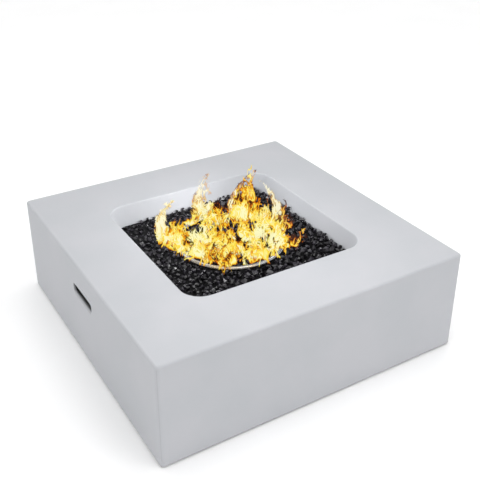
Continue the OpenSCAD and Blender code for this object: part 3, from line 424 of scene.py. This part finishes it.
# irregular convex chips, one unit in radius
def nuggetShapes():
    draw = random.Random(nugget["seed"] + 1)
    shapes = []
    for number in range(nugget["shapes"]):
        chip = bmesh.new()
        for corner in range(nugget["corners"]):
            away = Vector((draw.gauss(0, 1), draw.gauss(0, 1), draw.gauss(0, 1))).normalized()
            chip.verts.new(away * draw.uniform(*nugget["cornerReach"]))
        hull = bmesh.ops.convex_hull(chip, input=chip.verts)
        inside = set(hull["geom_interior"] + hull["geom_unused"])
        bmesh.ops.delete(chip, geom=list(inside), context="VERTS")
        shapes.append(bpy.data.meshes.new("chip"))
        chip.to_mesh(shapes[-1])
        chip.free()
    return shapes


def layFireGlass():
    draw = random.Random(nugget["seed"] + 2)
    shapes = nuggetShapes()
    bed = bmesh.new()
    places = dropNuggets()
    for x, y, z, r in places:
        first = len(bed.verts)
        bed.from_mesh(draw.choice(shapes))
        bed.verts.ensure_lookup_table()
        size = [r * draw.uniform(*nugget["spread"]) for axis in range(3)]
        turn = Euler([draw.uniform(0, math.tau) for axis in range(3)]).to_matrix().to_4x4()
        matrix = Matrix.Translation((x, y, z)) @ turn @ Matrix.Diagonal((*size, 1))
        bmesh.ops.transform(bed, matrix=matrix, verts=bed.verts[first:])
    for shape in shapes:
        bpy.data.meshes.remove(shape)
    piece = addPiece("fire_glass_nuggets", bed, materials["fire_glass"], "table")
    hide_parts("fire_glass")
    print("fire glass:", len(places), "nuggets,", len(piece.data.polygons), "faces")


layFireGlass()


# Control marks: a pointer in the knob's groove, and a printed scale of ticks with a dot for off
marks = {"pointerWide": 1.7 * mm, "pointerFrom": 6.4 * mm, "pointerTo": 15.4 * mm, "pointerThick": 0.5 * mm,
         "grooveDeep": 0.8 * mm, "plateThick": 1.5 * mm, "scaleRadius": 29.5 * mm, "scaleSteps": 9,
         "tickWide": 1.1 * mm, "tickLong": 6.0 * mm, "tickShort": 2.0 * mm, "dotWide": 2.2 * mm,
         "inkThick": 0.12 * mm, "softEdge": 0.3, "lowDegrees": 90, "offDegrees": -90}
knobLow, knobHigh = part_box("control_knob")
knobAxis = Vector(((knobLow.x + knobHigh.x) / 2, 0, (knobLow.z + knobHigh.z) / 2))
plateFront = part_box("control_box")[0].y + marks["plateThick"]


def whiteInk():
    # Baked white enamel: slightly uneven, satin.
    look = {"tones": [(0.3, "d9d9d5"), (0.7, "ecece8")], "patchMm": 3}
    material, tree, shader, place = newMaterial("white enamel ink", IOR=1.5, Roughness=0.4)
    uneven = addNode(tree, "ShaderNodeTexNoise", {
        "Vector": place, "Scale": perMetre(look["patchMm"]), "Detail": 3.0})
    tone = addNode(tree, "ShaderNodeValToRGB", {0: uneven}, stops=look["tones"])
    tree.links.new(tone, shader.inputs["Base Color"])
    return material


# a small bar in the wall's plane, with softened edges, turned about the knob's axis
def addBar(shape, wide, low, high, back, thick, degrees):
    bar = bmesh.new()
    bmesh.ops.create_cube(bar, size=1.0)
    bmesh.ops.scale(bar, vec=(wide, thick, high - low), verts=bar.verts)
    bmesh.ops.bevel(bar, geom=bar.edges[:], offset=thick * marks["softEdge"], segments=2, profile=0.5,
                    affect="EDGES", material=-1)
    bmesh.ops.translate(bar, vec=(0, back + thick / 2, (low + high) / 2), verts=bar.verts)
    bmesh.ops.rotate(bar, matrix=Matrix.Rotation(math.radians(degrees), 3, "Y"), verts=bar.verts)
    bmesh.ops.translate(bar, vec=knobAxis, verts=bar.verts)
    mesh = bpy.data.meshes.new("bar")
    bar.to_mesh(mesh)
    bar.free()
    shape.from_mesh(mesh)
    bpy.data.meshes.remove(mesh)


def printMarks():
    ink = whiteInk()
    pointer = bmesh.new()
    addBar(pointer, marks["pointerWide"], marks["pointerFrom"], marks["pointerTo"],
           knobHigh.y - marks["grooveDeep"], marks["pointerThick"], 0)
    addPiece("knob_pointer", pointer, ink, "knob")
    dial = bmesh.new()
    foot = marks["scaleRadius"]
    for step in range(marks["scaleSteps"]):
        share = step / (marks["scaleSteps"] - 1)
        long = marks["tickLong"] + (marks["tickShort"] - marks["tickLong"]) * share
        addBar(dial, marks["tickWide"], foot, foot + long, plateFront, marks["inkThick"],
               marks["lowDegrees"] * share)
    addBar(dial, marks["dotWide"], foot, foot + marks["tickShort"], plateFront, marks["inkThick"],
           marks["offDegrees"])
    addPiece("dial_marks", dial, ink, "table")
    print("control marks: pointer,", marks["scaleSteps"], "ticks and a dot")


printMarks()


# Flames: thin cupped sheets of burning gas over the ring, torn into filaments, for the picture only
flame = {"seed": 11, "right": Vector((0.857, -0.516, 0)), "columns": 12, "rows": 16, "cup": 0.3,
         "sway": 0.018, "plumeSway": 0.007, "swaySize": 0.05, "swayFull": 0.05, "tipThins": 0.55,
         "tipCurve": 1.5, "sideThins": 0.45, "sideCurve": 2.2, "footThins": 1.6, "footThin": 0.2,
         "footCools": 2.4, "footCool": 0.15, "paleFrom": 0.5, "thinnest": 0.95, "crossings": 24}
# low flames all over the ring: how many, and the ranges they are drawn from
licks = {"count": 120, "tall": (0.035, 0.075), "wide": (0.045, 0.08), "spread": 0.150, "lean": 0.012,
         "bend": 0.2, "narrowing": (1.0, 0.95, 0.8, 0.5), "heat": (0.36, 0.76), "thin": (-0.09, 0.09)}
# how much the sheets of one plume differ in place, turn, height and heat
plumeSheets = {"apart": 0.12, "turn": 0.3, "tall": (0.9, 1), "heat": 0.12}
# tall plumes: angle round the ring and distance from the middle, height, sheets, heat, how thin and pale,
# then the shifts of the path to the right and the plume's widths, both at even steps from foot to tip
plumes = [
    {"at": (152, 0.176), "tall": 0.136, "sheets": 3, "heat": 0.66, "thin": -0.22, "pale": 0.6,
     "shift": (0.000, -0.010, -0.016, -0.009, 0.018), "wide": (0.056, 0.044, 0.034, 0.027, 0.020)},
    {"at": (160, 0.156), "tall": 0.088, "sheets": 3, "heat": 0.72, "thin": -0.18, "pale": 0.0,
     "shift": (0.0, -0.004, -0.004, 0.0, 0.006), "wide": (0.080, 0.080, 0.066, 0.045, 0.016)},
    {"at": (92, 0.146), "tall": 0.168, "sheets": 3, "heat": 0.52, "thin": 0.0, "pale": 0.8,
     "shift": (-0.008, -0.014, -0.016, 0.002, 0.022), "wide": (0.078, 0.070, 0.058, 0.046, 0.030)},
    {"at": (60, 0.150), "tall": 0.136, "sheets": 2, "heat": 0.22, "thin": -0.24, "pale": 0.9,
     "shift": (0.0, 0.000, 0.006, 0.028, 0.058), "wide": (0.034, 0.028, 0.022, 0.018, 0.015)},
    {"at": (38, 0.145), "tall": 0.174, "sheets": 3, "heat": 0.46, "thin": -0.14, "pale": 0.1,
     "shift": (0.0, 0.004, 0.006, 0.002, 0.016), "wide": (0.090, 0.066, 0.036, 0.028, 0.020)},
    {"at": (4, 0.150), "tall": 0.158, "sheets": 3, "heat": 0.7, "thin": -0.13, "pale": 0.75,
     "shift": (0.0, 0.008, 0.006, -0.012, -0.044), "wide": (0.040, 0.034, 0.026, 0.020, 0.014)},
    {"at": (45, 0.118), "tall": 0.130, "sheets": 4, "heat": 0.34, "thin": -0.25, "pale": 0.0,
     "shift": (0.0, 0.0, 0.004, 0.010, 0.012), "wide": (0.100, 0.100, 0.086, 0.060, 0.024)},
    {"at": (8, 0.130), "tall": 0.100, "sheets": 3, "heat": 0.66, "thin": 0.0, "pale": 0.2,
     "shift": (0.0, 0.004, 0.008, 0.006, 0.012), "wide": (0.085, 0.078, 0.064, 0.045, 0.016)},
    {"at": (-12, 0.168), "tall": 0.070, "sheets": 2, "heat": 0.2, "thin": 0.04, "pale": 0.3,
     "shift": (0.0, 0.006, 0.010, 0.012, 0.018), "wide": (0.060, 0.060, 0.050, 0.034, 0.012)},
    {"at": (-40, 0.172), "tall": 0.056, "sheets": 3, "heat": 0.22, "thin": -0.04, "pale": 0.2,
     "shift": (0.0, 0.004, 0.010, 0.018, 0.030), "wide": (0.074, 0.074, 0.058, 0.038, 0.014)},
    {"at": (176, 0.150), "tall": 0.072, "sheets": 4, "heat": 0.5, "thin": -0.12, "pale": 0.0,
     "shift": (0.0, -0.004, -0.004, 0.0, 0.006), "wide": (0.080, 0.080, 0.066, 0.045, 0.016)},
    {"at": (200, 0.132), "tall": 0.064, "sheets": 4, "heat": 0.62, "thin": -0.06, "pale": 0.0,
     "shift": (0.0, 0.0, 0.004, 0.004, 0.008), "wide": (0.090, 0.090, 0.074, 0.050, 0.020)},
    {"at": (236, 0.136), "tall": 0.056, "sheets": 4, "heat": 0.46, "thin": -0.04, "pale": 0.0,
     "shift": (0.0, 0.0, -0.002, 0.002, 0.004), "wide": (0.096, 0.096, 0.080, 0.056, 0.020)},
    {"at": (275, 0.132), "tall": 0.060, "sheets": 4, "heat": 0.62, "thin": -0.06, "pale": 0.0,
     "shift": (0.0, 0.002, 0.004, 0.008, 0.010), "wide": (0.090, 0.090, 0.074, 0.050, 0.020)},
    {"at": (74, 0.154), "tall": 0.078, "sheets": 2, "heat": 0.06, "thin": 0.0, "pale": 0.0,
     "shift": (0.0, 0.002, 0.004, 0.008, 0.010), "wide": (0.074, 0.070, 0.052, 0.036, 0.016)},
    {"at": (-2, 0.172), "tall": 0.108, "sheets": 2, "heat": 0.1, "thin": 0.0, "pale": 0.25,
     "shift": (0.0, 0.004, 0.004, 0.0, -0.004), "wide": (0.062, 0.058, 0.046, 0.032, 0.016)},
    {"at": (-50, 0.158), "tall": 0.052, "sheets": 3, "heat": 0.52, "thin": -0.12, "pale": 0.0,
     "shift": (0.0, 0.002, 0.004, 0.008, 0.012), "wide": (0.080, 0.078, 0.062, 0.044, 0.016)},
]
# hottest and coolest places: where on the plan, how far round, and by how much
heatSpots = [((-0.11, 0.01), 0.09, 0.45), ((0.09, -0.05), 0.095, 0.42), ((0.06, 0.11), 0.08, -0.1),
             ((0.17, -0.06), 0.06, -0.4), ((-0.04, -0.05), 0.06, -0.45)]


def flameMaterial():
    # Burning gas: tan and orange where it is thin or cool, pale yellow to cream where it is hot, torn into
    # curling filaments over a faint veil. Its glow is all there is, so it has no surface of its own.
    look = {"glow": 1.0, "stretch": 0.62, "bendMm": 40, "bendBy": 20 * mm, "curlMm": 16, "curlBy": 8 * mm,
            "lickMm": 30, "lickRough": 0.58, "filamentMm": (34, 17), "filamentThin": (15.0, 13.0),
            "filamentShare": 0.42, "clearBelow": 0.32, "fullAbove": 0.5, "opaque": 0.95,
            "veil": 0.16, "veilEnds": 0.25, "heatGain": 1.6, "heatLess": -0.93, "zoneMm": 42, "zone": 0.42,
            "tones": [(0.0, "2c1512"), (0.08, "7c3612"), (0.17, "cf6a10"), (0.28, "f09c1c"),
                      (0.40, "fcc930"), (0.54, "ffe34c"), (0.74, "fff07c"), (0.96, "fffbc4")],
            "wispTones": [(0.0, "7c5544"), (0.3, "bd926f"), (0.6, "ecd3a6"), (0.9, "fff8e0")]}
    material = bpy.data.materials.new("gas flame")
    material.use_nodes = True
    material.cycles.emission_sampling = "NONE"
    tree = material.node_tree
    tree.nodes.remove(tree.nodes["Principled BSDF"])
    hot = addNode(tree, "ShaderNodeAttribute", out="Fac", attribute_name="hot")
    thin = addNode(tree, "ShaderNodeAttribute", out="Fac", attribute_name="thin")
    pale = addNode(tree, "ShaderNodeAttribute", out="Fac", attribute_name="pale")
    place = addNode(tree, "ShaderNodeTexCoord", out="Object")
    moved = addNode(tree, "ShaderNodeVectorMath", {0: place, 1: (1, 1, look["stretch"])},
                    operation="MULTIPLY")
    for size, amount in ((look["bendMm"], look["bendBy"]), (look["curlMm"], look["curlBy"])):
        wander = addNode(tree, "ShaderNodeTexNoise", {
            "Vector": moved, "Scale": perMetre(size), "Detail": 1.0}, out="Color")
        wander = addNode(tree, "ShaderNodeVectorMath", {0: wander, 1: [noiseMiddle] * 3},
                         operation="SUBTRACT")
        step = addNode(tree, "ShaderNodeVectorMath", {0: wander, "Scale": 2 * amount}, operation="SCALE")
        moved = addNode(tree, "ShaderNodeVectorMath", {0: moved, 1: step}, operation="ADD")
    body = addNode(tree, "ShaderNodeTexNoise", {
        "Vector": moved, "Scale": perMetre(look["lickMm"]), "Detail": 3.0, "Roughness": look["lickRough"]})
    # filaments run where a noise is near its middle value
    filament = 0.0
    for size, thinner in zip(look["filamentMm"], look["filamentThin"]):
        field = addNode(tree, "ShaderNodeTexNoise", {
            "Vector": moved, "Scale": perMetre(size), "Detail": 1.0})
        off = addNode(tree, "ShaderNodeMath", {0: field, 1: noiseMiddle}, operation="SUBTRACT")
        off = addNode(tree, "ShaderNodeMath", {0: off}, operation="ABSOLUTE")
        ridge = addNode(tree, "ShaderNodeMath", {0: off, 1: -thinner, 2: 1.0}, operation="MULTIPLY_ADD",
                        use_clamp=True)
        filament = addNode(tree, "ShaderNodeMath", {0: ridge, 1: filament}, operation="MAXIMUM")
    thick = addNode(tree, "ShaderNodeMath", {0: filament, 1: look["filamentShare"], 2: body},
                    operation="MULTIPLY_ADD")
    thick = addNode(tree, "ShaderNodeMath", {0: thick, 1: thin}, operation="SUBTRACT")
    shown = addNode(tree, "ShaderNodeMapRange", {
        "Value": thick, "From Min": look["clearBelow"], "From Max": look["fullAbove"],
        "To Max": look["opaque"]}, interpolation_type="SMOOTHSTEP")
    veil = addNode(tree, "ShaderNodeMapRange", {
        "Value": thin, "From Max": look["veilEnds"], "To Min": look["veil"], "To Max": 0.0})
    shown = addNode(tree, "ShaderNodeMath", {0: shown, 1: veil}, operation="MAXIMUM")
    gain = addNode(tree, "ShaderNodeMath", {0: thick, 1: look["heatGain"], 2: look["heatLess"]},
                   operation="MULTIPLY_ADD")
    heat = addNode(tree, "ShaderNodeMath", {0: hot, 1: gain}, operation="ADD")
    zone = addNode(tree, "ShaderNodeTexNoise", {
        "Vector": place, "Scale": perMetre(look["zoneMm"]), "Detail": 1.0})
    zone = addNode(tree, "ShaderNodeMapRange", {
        "Value": zone, **noiseSpan, "To Min": -look["zone"], "To Max": look["zone"]})
    heat = addNode(tree, "ShaderNodeMath", {0: heat, 1: zone}, operation="ADD")
    bright = addNode(tree, "ShaderNodeValToRGB", {0: heat}, stops=look["tones"])
    wisp = addNode(tree, "ShaderNodeValToRGB", {0: heat}, stops=look["wispTones"])
    colour = addNode(tree, "ShaderNodeMix", {0: pale, 6: bright, 7: wisp}, **mixColours)
    glow = addNode(tree, "ShaderNodeEmission", {"Color": colour, "Strength": look["glow"]})
    clear = addNode(tree, "ShaderNodeBsdfTransparent")
    both = addNode(tree, "ShaderNodeMixShader", {0: shown, 1: clear, 2: glow})
    tree.links.new(both, tree.nodes["Material Output"].inputs["Surface"])
    return material


# a value between even steps of a row; the share stops just short of the row's end, where no next step is
def between(row, share):
    place = min(max(share, 0), 0.9999) * (len(row) - 1)
    low = int(place)
    return row[low] + (row[low + 1] - row[low]) * (place - low)


# how much hotter than the rest the flame is at a place
def localHeat(place):
    hotter = 0
    for (x, y), reach, by in heatSpots:
        hotter += by * max(0, 1 - math.hypot(place.x - x, place.y - y) / reach)
    return hotter


# one sheet of flame: cupped, with its own path and widths as it rises, and layers that its material reads
def addSheet(fire, foot, tall, yaw, swaying, shift, wide, hot, thinner, paler=0.0):
    thin, warm, pale = (fire.verts.layers.float[name] for name in ("thin", "hot", "pale"))
    sheet = bmesh.ops.create_grid(fire, x_segments=flame["columns"], y_segments=flame["rows"], size=0.5)
    side = Vector((math.cos(yaw), math.sin(yaw), 0))
    front = Vector((-side.y, side.x, 0))
    for vert in sheet["verts"]:
        across, up = 2 * vert.co.x, vert.co.y + 0.5
        height = up * tall
        half = between(wide, up) / 2
        sway = noise.noise_vector((foot + Vector((0, 0, height))) / flame["swaySize"])
        vert.co = foot + side * across * half + front * across ** 2 * half * flame["cup"]
        vert.co += Vector((sway.x, sway.y, 0)) * swaying * min(1, height / flame["swayFull"])
        vert.co += flame["right"] * between(shift, up) + Vector((0, 0, height))
        tip = flame["tipThins"] * up ** flame["tipCurve"]
        edge = flame["sideThins"] * abs(across) ** flame["sideCurve"]
        vert[thin] = thinner + tip + edge
        vert[thin] += flame["footThins"] * max(0, flame["footThin"] - up)
        vert[warm] = hot - flame["footCools"] * max(0, flame["footCool"] - up)
        vert[pale] = paler * min(1, up / flame["paleFrom"])
    gone = [v for v in sheet["verts"] if v[thin] > flame["thinnest"]]
    bmesh.ops.delete(fire, geom=gone, context="VERTS")


def addLick(fire, draw):
    away, turn = licks["spread"] * math.sqrt(draw.random()), draw.uniform(0, math.tau)
    foot = Vector((away * math.cos(turn), away * math.sin(turn), ring["z"]))
    wide = draw.uniform(*licks["wide"])
    lean = draw.uniform(-1, 1) * licks["lean"]
    tall, yaw = draw.uniform(*licks["tall"]), draw.uniform(0, math.tau)
    hot, thinner = draw.uniform(*licks["heat"]) + localHeat(foot), draw.uniform(*licks["thin"])
    addSheet(fire, foot, tall, yaw, flame["sway"], (0, lean * licks["bend"], lean),
             [wide * share for share in licks["narrowing"]], hot, thinner)


def addPlume(fire, draw, plume):
    turn = math.radians(plume["at"][0])
    facing = math.atan2(flame["right"].y, flame["right"].x)
    middle = Vector((math.cos(turn), math.sin(turn), 0)) * plume["at"][1] + Vector((0, 0, ring["z"]))
    for number in range(plume["sheets"]):
        away = Vector((draw.uniform(-1, 1), draw.uniform(-1, 1), 0))
        foot = middle + away * plume["wide"][0] * plumeSheets["apart"]
        turned = number + draw.uniform(-plumeSheets["turn"], plumeSheets["turn"])
        yaw = facing + math.pi * turned / plume["sheets"]
        tall = plume["tall"] * draw.uniform(*plumeSheets["tall"])
        hot = plume["heat"] + draw.uniform(-plumeSheets["heat"], plumeSheets["heat"])
        addSheet(fire, foot, tall, yaw, flame["plumeSway"], plume["shift"], plume["wide"], hot,
                 plume["thin"], plume["pale"])


def lightFlames():
    draw = random.Random(flame["seed"])
    noise.seed_set(flame["seed"])  # unseeded, the noise vectors of the sway start from the clock
    fire = bmesh.new()
    for name in ("thin", "hot", "pale"):
        fire.verts.layers.float.new(name)
    for number in range(licks["count"]):
        addLick(fire, draw)
    for plume in plumes:
        addPlume(fire, draw, plume)
    mesh = bpy.data.meshes.new("flames")
    fire.to_mesh(mesh)
    fire.free()
    mesh.materials.append(flameMaterial())
    flames = bpy.data.objects.new("flames", mesh)
    scene.collection.objects.link(flames)
    flames.visible_shadow = flames.visible_diffuse = flames.visible_glossy = False
    # a line of sight can cross many clear parts of the sheets
    scene.cycles.transparent_max_bounces = flame["crossings"]
    print("flames:", licks["count"], "licks,", len(plumes), "plumes,", len(mesh.polygons), "faces")


lightFlames()


# Stage: a large white floor, a white dome, lamps, the light of the flames, and the camera
stage = {"floorSide": 60.0, "dome": 1.33, "boxesPerRadius": 3.2, "boxes": (0.2, 1.7),
         "boxEdge": (0.42, 0.58), "boxesFrom": (0.3, 0.5), "sideways": 0.12, "lens": 58.47, "shiftY": -0.1,
         "azimuth": -31.0559, "elevation": 26.8474, "distance": 2.7545, "target": (0.3084, 0.4613, 0.1157)}
bedMiddle = (0, 0, 0.25)
# a soft box over the front, then small lamps that glint in the glass: place, point they face, side of the
# square in metres, power in watts
lamps = [((-0.05, -0.42, 1.0), (-0.05, -0.42, 0.0), 0.6, 2.3), ((0.6, -1.6, 2.3), bedMiddle, 0.24, 3.4),
         ((-1.3, -0.3, 2.4), bedMiddle, 0.24, 2.2), ((0.2, 1.2, 2.4), bedMiddle, 0.24, 3.0),
         ((1.5, 0.5, 2.0), bedMiddle, 0.24, 3.4), ((-0.9, 1.4, 1.9), bedMiddle, 0.24, 2.2)]
# light of the flames: place, radius in metres, power in watts
glows = [((-0.12, 0.07, 0.335), 0.03, 0.50), ((0.01, 0.095, 0.345), 0.03, 0.95),
         ((0.06, -0.04, 0.335), 0.03, 0.2)]


def floorPaint():
    # White painted studio floor, with a faint unevenness.
    look = {"tones": [(0.3, "fafafa"), (0.7, "fdfdfd")], "patchMm": 400}
    material, tree, shader, place = newMaterial("studio floor paint", Roughness=0.9)
    uneven = addNode(tree, "ShaderNodeTexNoise", {
        "Vector": place, "Scale": perMetre(look["patchMm"]), "Detail": 2.0})
    tone = addNode(tree, "ShaderNodeValToRGB", {0: uneven}, stops=look["tones"])
    tree.links.new(tone, shader.inputs["Base Color"])
    return material


def layFloor():
    shape = bmesh.new()
    bmesh.ops.create_grid(shape, x_segments=1, y_segments=1, size=stage["floorSide"] / 2)
    mesh = bpy.data.meshes.new("floor")
    shape.to_mesh(mesh)
    shape.free()
    mesh.materials.append(floorPaint())
    floor = bpy.data.objects.new("floor", mesh)
    scene.collection.objects.link(floor)


# an even white dome near the horizon, with soft boxes and dark gaps higher up, all a little brighter at +X
def raiseDome():
    world = bpy.data.worlds.new("dome")
    scene.world = world
    world.use_nodes = True
    tree = world.node_tree
    toSky = addNode(tree, "ShaderNodeTexCoord", out="Generated")
    boxes = addNode(tree, "ShaderNodeTexNoise", {
        "Vector": toSky, "Scale": stage["boxesPerRadius"], "Detail": 0.0})
    boxes = addNode(tree, "ShaderNodeMapRange", {
        "Value": boxes, "From Min": stage["boxEdge"][0], "From Max": stage["boxEdge"][1],
        "To Min": stage["boxes"][0], "To Max": stage["boxes"][1]}, interpolation_type="SMOOTHSTEP")
    high = addNode(tree, "ShaderNodeSeparateXYZ", {0: toSky}, out=2)
    high = addNode(tree, "ShaderNodeMapRange", {
        "Value": high, "From Min": stage["boxesFrom"][0], "From Max": stage["boxesFrom"][1]})
    strength = addNode(tree, "ShaderNodeMix", {0: high, 2: stage["dome"], 3: boxes}, data_type="FLOAT")
    side = addNode(tree, "ShaderNodeSeparateXYZ", {0: toSky}, out=0)
    side = addNode(tree, "ShaderNodeMath", {0: side, 1: stage["sideways"], 2: 1.0}, operation="MULTIPLY_ADD")
    strength = addNode(tree, "ShaderNodeMath", {0: strength, 1: side}, operation="MULTIPLY")
    sky = tree.nodes["Background"]
    sky.inputs["Color"].default_value = (1.0, 1.0, 1.0, 1.0)
    tree.links.new(strength, sky.inputs["Strength"])


def hangLamps():
    for number, (place, aim, side, power) in enumerate(lamps):
        data = bpy.data.lights.new("lamp", "AREA")
        data.size = side
        data.energy = power
        lamp = bpy.data.objects.new("lamp%d" % number, data)
        lamp.location = place
        lamp.rotation_euler = (Vector(aim) - lamp.location).to_track_quat("-Z", "Y").to_euler()
        scene.collection.objects.link(lamp)
    for number, (place, radius, power) in enumerate(glows):
        data = bpy.data.lights.new("glow", "POINT")
        data.shadow_soft_size = radius
        data.energy = power
        glow = bpy.data.objects.new("glow%d" % number, data)
        glow.location = place
        glow.visible_glossy = False  # the glass shows no bright dots of them
        scene.collection.objects.link(glow)


def setCamera():
    lens = bpy.data.cameras.new("camera")
    lens.lens = stage["lens"]
    lens.shift_y = stage["shiftY"]
    camera = bpy.data.objects.new("camera", lens)
    scene.collection.objects.link(camera)
    azimuth, elevation = math.radians(stage["azimuth"]), math.radians(stage["elevation"])
    back = Vector((math.sin(azimuth) * math.cos(elevation), -math.cos(azimuth) * math.cos(elevation),
                   math.sin(elevation)))
    camera.location = Vector(stage["target"]) + back * stage["distance"]
    camera.rotation_mode = "QUATERNION"
    camera.rotation_quaternion = (-back).to_track_quat("-Z", "Y")
    scene.camera = camera


layFloor()
raiseDome()
hangLamps()
setCamera()
print("stage:", len(lamps), "lamps and", len(glows), "glows")
